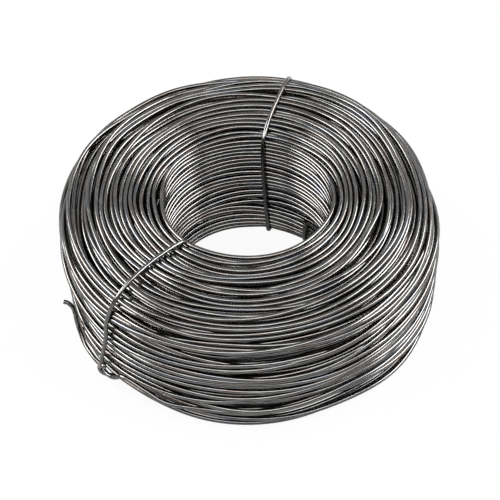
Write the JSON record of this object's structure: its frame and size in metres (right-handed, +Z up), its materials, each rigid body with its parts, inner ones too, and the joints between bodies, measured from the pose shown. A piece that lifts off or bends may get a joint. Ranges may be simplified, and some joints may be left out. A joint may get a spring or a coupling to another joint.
{
  "type": "coil of tie wire",
  "caption": "Round coil of dark annealed tie wire, wound with an open bore and bound by two short ties of the same wire.",
  "frame": {"origin": "middle of the bore on the face that the coil lies on", "axes": "+Z up along the axis of the winding, +X to the right in the picture's view, +Y away from the viewer"},
  "size_m": [0.127, 0.1285, 0.0489],
  "materials": {
    "annealed_wire": "dark oxide from annealing, satin",
    "tie_wire": "dark oxide from annealing, satin"
  },
  "bodies": {
    "root": {"wire_coil": "annealed_wire", "tie_wire_front": "tie_wire", "tie_wire_back": "tie_wire"}
  },
  "joints": []
}
